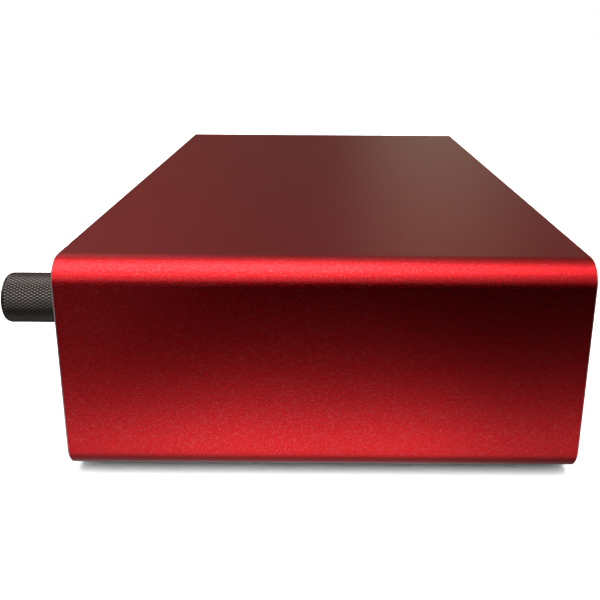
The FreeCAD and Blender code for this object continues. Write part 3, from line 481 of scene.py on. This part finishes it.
def knurled_knob(knob, material):
    """A knob with a rounded rim and a diamond-knurled side, in place of a CAD knob."""
    low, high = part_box(knob.node)
    x, z = centre(knob.node)
    radius = (high[0] - low[0]) / 2 - KNOB_INSIDE
    face, back = low[1] + KNOB_INSIDE, high[1]
    pitch, depth, rounding = knob.pitch * MM, knob.depth * MM, knob.rounding * MM

    def outline(y):
        short = max(0, face + rounding - y)
        return radius - rounding + math.sqrt(rounding ** 2 - short ** 2)

    inner = recessed(face, knob.recess * MM) if knob.recess else dished(face, radius)
    shoulder = rim(radius, face, rounding, KNURL_FROM)
    start_y, end_y = shoulder[-1][1] + depth / 2, back - KNURL_SHORT
    rows = 2 * round((end_y - start_y) / pitch)

    lathe = Lathe(x, z, 2 * knob.starts)
    last = lathe.skin(inner + shoulder + [(outline(start_y) - depth, start_y)])
    last = lathe.knurl(last, start_y, end_y, outline, depth, rows)
    tail = [(radius - BAND_SUNK, back - BAND_FROM), (radius - BAND_SUNK, back - BAND_TO)]
    tail += [(radius - BACK_BEVEL, back), (SHAFT_R, back)]
    lathe.skin(tail, last)
    obj = lathe.finish(f"{knob.node}_knurled")
    paint(obj, material)
    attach(obj, knob.body)
    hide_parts(knob.node)


# ---- marks ------------------------------------------------------------------------------------
class Marks:
    """Thin printed marks on a panel, collected into one mesh. Sizes are in metres."""

    def __init__(self, y, outward):
        self.bm = bmesh.new()
        self.y = y + outward * MARK_LIFT

    def quad(self, points):
        self.bm.faces.new([self.bm.verts.new((x, self.y, z)) for x, z in points])

    def stroke(self, a, b, width):
        a, b = Vector(a), Vector(b)
        side = (b - a).orthogonal().normalized() * width / 2
        self.quad([a + side, b + side, b - side, a - side])

    def ring(self, x, z, radius, width, start=0, end=360, steps=48):
        turns = [math.radians(start + (end - start) * k / steps) for k in range(steps + 1)]
        for s, t in zip(turns, turns[1:]):
            self.quad([(x + r * math.cos(a), z + r * math.sin(a))
                       for r, a in ((radius, s), (radius + width, s), (radius + width, t), (radius, t))])

    def dial(self, x, z, radius, length, count):
        """Ticks over the knob's turn, longer at the ends and the middle."""
        middle = Vector((x, z))
        for k in range(count):
            turn = math.radians(90 + DIAL_TURN / 2 - DIAL_TURN * k / (count - 1))
            reach = length * (LONG_TICK if k in (0, count // 2, count - 1) else 1)
            way = Vector((math.cos(turn), math.sin(turn)))
            self.stroke(middle + way * radius, middle + way * (radius + reach), TICK_WIDTH)

    def finish(self, name, material, body="case"):
        obj = from_bmesh(name, self.bm)
        paint(obj, material)
        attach(obj, body)


def numeral(marks, digit, x, z, size):
    """A plain drawn numeral, 1 or 2, with its strokes in shares of its size."""
    strokes = {
        1: [((-0.2, 0.3), (0.05, 0.5)), ((0.05, 0.5), (0.05, -0.5))],
        2: [((-0.3, 0.32), (-0.12, 0.49)), ((-0.12, 0.49), (0.14, 0.49)), ((0.14, 0.49), (0.31, 0.3)),
            ((0.31, 0.3), (0.24, 0.06)), ((0.24, 0.06), (-0.32, -0.5)), ((-0.34, -0.5), (0.34, -0.5))],
    }[digit]
    width = NUMERAL_STROKE * size
    for a, b in strokes:
        marks.stroke((x + a[0] * size, z + a[1] * size), (x + b[0] * size, z + b[1] * size), width)


def headphone_sign(marks, x, z):
    """A half ring for the headband, and a short bar at each end for the ear cups."""
    band_r, band_width, band_drop = 1.45 * MM, 0.28 * MM, 0.3 * MM
    cup_out, cup_top, cup_end, cup_width = 1.6 * MM, 0.2 * MM, 1.7 * MM, 0.75 * MM
    marks.ring(x, z - band_drop, band_r, band_width, 0, 180, 20)
    for side in (-1, 1):
        cup_x = x + side * cup_out
        marks.stroke((cup_x, z - cup_top), (cup_x, z - cup_end), cup_width)


def linked_rings(marks, x, z):
    """Two rings that overlap, for hearing two inputs mixed."""
    apart, radius, width = 0.45 * MM, 0.75 * MM, 0.2 * MM
    for side in (-1, 1):
        marks.ring(x + side * apart, z, radius, width, steps=24)


def front_marks(material):
    marks = Marks(FASCIA_FACE, -1)
    for node, radius, length, count in DIALS:
        marks.dial(*centre(node), radius * MM, length * MM, count)
    for digit, aside, above in NUMERALS:
        x, z = centre(f"combo_jack_{digit}_insert")
        numeral(marks, digit, x + aside * MM, z + above * MM, NUMERAL_SIZE)
    x, z = centre("phones_jack_nut")
    headphone_sign(marks, x + HEADPHONE_SIGN_ASIDE, z)
    x, z = centre("direct_button")
    linked_rings(marks, x, z + LINKED_RINGS_BELOW)
    marks.finish("front_marks", material)


def pointer(node, body, sunk, start, end, material):
    """A painted line on a knob's end face, between two distances from its middle."""
    marks = Marks(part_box(node)[0][1] + sunk, -1)
    x, z = centre(node)
    marks.stroke((x, z + start), (x, z + end), POINTER_WIDTH)
    marks.finish(f"{body}_pointer", material, body)


def rear_marks(material):
    """A bracket over the two outputs."""
    below_top, past, drop, width = 5.0 * MM, 8 * MM, 2.2 * MM, 0.3 * MM
    marks = Marks(REAR_FACE, 1)
    x0, x1 = centre("line_out_right_body")[0], centre("line_out_left_body")[0]
    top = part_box("rear_panel")[1][2] - below_top
    marks.stroke((x0 - past, top), (x1 + past, top), width)
    for x in (x0, x1):
        marks.stroke((x, top), (x, top - drop), width)
    marks.finish("rear_marks", material)


# ---- studio -----------------------------------------------------------------------------------
def ramp(tree, value, span, stops):
    """A smooth curve through (input, output) stops, for inputs over a span."""
    low, high = span
    peak = max(output for _, output in stops)
    share = tree.nodes.new("ShaderNodeMapRange")
    share.inputs["From Min"].default_value, share.inputs["From Max"].default_value = span
    tree.links.new(value, share.inputs["Value"])
    curve = tree.nodes.new("ShaderNodeValToRGB")
    curve.color_ramp.interpolation = "EASE"
    while len(curve.color_ramp.elements) < len(stops):
        curve.color_ramp.elements.new(0.5)
    for element, (x, y) in zip(curve.color_ramp.elements, stops):
        element.position = (x - low) / (high - low)
        element.color = (*[y / peak] * 3, 1)
    tree.links.new(share.outputs[0], curve.inputs[0])
    lift = tree.nodes.new("ShaderNodeMath")
    lift.operation = "MULTIPLY"
    lift.inputs[1].default_value = peak
    tree.links.new(curve.outputs[0], lift.inputs[0])
    return lift.outputs[0]


def blend(tree, kind, amount, first, second):
    """A colour mix. Each of first and second is a socket or a colour."""
    mix = tree.nodes.new("ShaderNodeMix")
    mix.data_type, mix.blend_type = "RGBA", kind
    for slot, value in ((0, amount), (MIX_A, first), (MIX_B, second)):
        if isinstance(value, tuple):
            mix.inputs[slot].default_value = (*value, 1)
        elif isinstance(value, float):
            mix.inputs[slot].default_value = value
        else:
            tree.links.new(value, mix.inputs[slot])
    return mix.outputs[MIX_RESULT]


def world():
    """White to the camera, even to matt surfaces, and a soft studio to glossy ones."""
    made = bpy.data.worlds.new("studio")
    bpy.context.scene.world = made
    made.use_nodes = True
    tree = made.node_tree
    rays = tree.nodes.new("ShaderNodeLightPath")
    way = tree.nodes.new("ShaderNodeSeparateXYZ")
    tree.links.new(tree.nodes.new("ShaderNodeTexCoord").outputs["Generated"], way.inputs[0])
    over = tree.nodes.new("ShaderNodeMath")
    over.operation = "ARCTAN2"
    tree.links.new(way.outputs["Z"], over.inputs[0])
    tree.links.new(way.outputs["X"], over.inputs[1])
    turn = tree.nodes.new("ShaderNodeMath")
    turn.operation = "DEGREES"
    tree.links.new(over.outputs[0], turn.inputs[0])
    angle, across = turn.outputs[0], way.outputs["Y"]

    def glow(over_angles, over_across):
        up = ramp(tree, angle, ANGLES, over_angles)
        return blend(tree, "MULTIPLY", 1.0, up, ramp(tree, across, ACROSS, over_across))

    box = blend(tree, "ADD", 1.0, glow(SOFTBOX, SOFTBOX_ACROSS), glow(SIDE_GLOW, SIDE_GLOW_ACROSS))
    room = blend(tree, "MIX", ramp(tree, across, ACROSS, ROOM_TO_LEFT), ROOM_MIDDLE, ROOM_LEFT)
    room = blend(tree, "MIX", ramp(tree, across, ACROSS, ROOM_TO_RIGHT), room, ROOM_RIGHT)
    room = blend(tree, "MULTIPLY", 1.0, room, ramp(tree, angle, ANGLES, ROOM_RISE))
    glossy = blend(tree, "ADD", 1.0, box, room)
    unseen = blend(tree, "MIX", rays.outputs["Is Glossy Ray"], (WORLD_MATT,) * 3, glossy)
    seen = blend(tree, "MIX", rays.outputs["Is Camera Ray"], unseen, (WORLD_SEEN,) * 3)
    tree.links.new(seen, tree.nodes["Background"].inputs["Color"])


def sheet(name, half, z, material):
    """A level square."""
    corners = [(-half, -half, z), (half, -half, z), (half, half, z), (-half, half, z)]
    mesh = bpy.data.meshes.new(name)
    mesh.from_pydata(corners, [], [(0, 1, 2, 3)])
    obj = place(name, mesh)
    paint(obj, material)
    return obj


def floor():
    made = Finish("pale_floor", (0.93, 0.93, 0.93), 0.0, 0.9)
    made.set("Specular IOR Level", 0.0)
    made.blotch(400, 0.01)
    sheet("floor", FLOOR_HALF, 0, made.material)


def gloss_floor():
    """What glossy surfaces see of the floor: bright beside the case, and falling away from it."""
    made = Finish("gloss_floor", (0, 0, 0), 0.0, 1.0)
    made.set("Specular IOR Level", 0.0)
    middle = (SLEEVE_LOW + SLEEVE_HIGH) / 2
    half = (SLEEVE_HIGH - SLEEVE_LOW) / 2
    aside = made.maths("ABSOLUTE", made.maths("SUBTRACT", made.axis(0), middle.x))
    distance = made.maths("MULTIPLY", made.maths("SUBTRACT", aside, half.x), 1 / MM)
    across = made.maths("MULTIPLY", made.axis(1), 1 / MM)
    fall = ramp(made.tree, distance, GLOSS_REACH, GLOSS_FALL)
    glow = made.maths("MULTIPLY", fall, ramp(made.tree, across, GLOSS_WIDTH, GLOSS_ACROSS))
    glow = made.maths("ADD", glow, ramp(made.tree, across, GLOSS_LEFT_WIDTH, GLOSS_LEFT))
    made.link(glow, made.shader.inputs["Emission Strength"])
    made.set("Emission Color", (1, 1, 1, 1))
    card = sheet("gloss_floor", GLOSS_FLOOR_HALF, GLOSS_FLOOR_Z, made.material)
    card.visible_camera = card.visible_diffuse = card.visible_shadow = False


def shade_tube():
    """A black skin just outside the sleeve that only matt surfaces see, so the case's shadow is grey."""
    made = Finish("shade", (0.0, 0.0, 0.0), 0.0, 1.0)
    made.set("Specular IOR Level", 0.0)
    gap, steps = 0.2 * MM, 6
    corner_r = SLEEVE_CORNER_R + gap
    low, high = SLEEVE_LOW - Vector((gap, 0, gap)), SLEEVE_HIGH + Vector((gap, 0, gap))
    left, right = low.x + corner_r, high.x - corner_r
    bottom, top = low.z + corner_r, high.z - corner_r
    corners = ((right, top), (left, top), (left, bottom), (right, bottom))
    bm = bmesh.new()
    rings = []
    for y in (SLEEVE_LOW.y, SLEEVE_HIGH.y):
        ring = []
        for quarter, (x, z) in enumerate(corners):
            for k in range(steps + 1):
                turn = math.radians(90 * quarter + 90 * k / steps)
                ring.append(bm.verts.new((x + corner_r * math.cos(turn), y, z + corner_r * math.sin(turn))))
        rings.append(ring)
    count = len(rings[0])
    for i in range(count):
        j = (i + 1) % count
        bm.faces.new((rings[0][i], rings[0][j], rings[1][j], rings[1][i]))
    obj = from_bmesh("shade_tube", bm)
    paint(obj, made.material)
    obj.visible_camera = obj.visible_glossy = obj.visible_shadow = obj.visible_transmission = False


def lamp(name, where, aim, size, power, matt, gloss):
    light = bpy.data.lights.new(name, "AREA")
    light.shape = "RECTANGLE"
    light.size, light.size_y = size
    light.energy = power
    obj = place(name, light)
    obj.location = where
    obj.rotation_euler = (Vector(aim) - Vector(where)).to_track_quat("-Z", "Y").to_euler()
    obj.visible_camera = False
    obj.visible_diffuse, obj.visible_glossy = matt, gloss


def camera():
    """At the photograph's viewing angle: beside the case, a little above it, looking along -X."""
    lens = bpy.data.cameras.new("camera")
    lens.sensor_width = SENSOR
    lens.lens = LENS
    lens.shift_x, lens.shift_y = SHIFT
    lens.clip_start = CLIP_START
    obj = place("camera", lens)
    pitch, roll = math.radians(PITCH), math.radians(ROLL)
    forward = Vector((-math.cos(pitch), 0, -math.sin(pitch)))
    up = Vector((-math.sin(pitch), 0, math.cos(pitch)))
    right = forward.cross(up)
    level, lean = math.cos(roll), math.sin(roll)
    axes = Matrix((level * right + lean * up, level * up - lean * right, -forward)).transposed()
    edge = Vector((SLEEVE_HIGH.x, (SLEEVE_LOW.y + SLEEVE_HIGH.y) / 2, SLEEVE_LOW.z))
    obj.matrix_world = Matrix.Translation(edge + Vector(CAMERA_PLACE) * MM) @ axes.to_4x4()
    bpy.context.scene.camera = obj


# ---- build ------------------------------------------------------------------------------------
def main():
    metals = {}
    for knob in KNOBS:
        made = knob_finish(f"{knob.node}_metal", KNOB_COLOUR, knob.roughness, knob.node)
        metals[knob.node] = made.material
    finishes = {slot: made.material for slot, made in simple_finishes().items()}
    finishes["sleeve_red"] = sleeve_finish().material
    finishes["knob_metal"] = metals["gain_knob_1"]
    finishes["phones_knob_metal"] = metals["phones_knob"]
    cap = knob_finish("cap_metal", CAP_COLOUR, CAP_ROUGHNESS, "monitor_knob_cap")
    finishes["cap_metal"] = cap.material
    for part in frame["record"]["subparts"]:
        paint(NODES[part["node"]], finishes[part["material_slot"]])
    for knob in KNOBS:
        knurled_knob(knob, metals[knob.node])

    ink = ink_finish().material
    front_marks(ink)
    for node, body, sunk, start, end in POINTERS:
        pointer(node, body, sunk * MM, start * MM, end * MM, ink)
    rear_marks(ink)

    world()
    floor()
    gloss_floor()
    shade_tube()
    for settings in LAMPS:
        lamp(*settings)
    camera()
    bpy.context.scene.view_settings.view_transform = "Standard"


main()
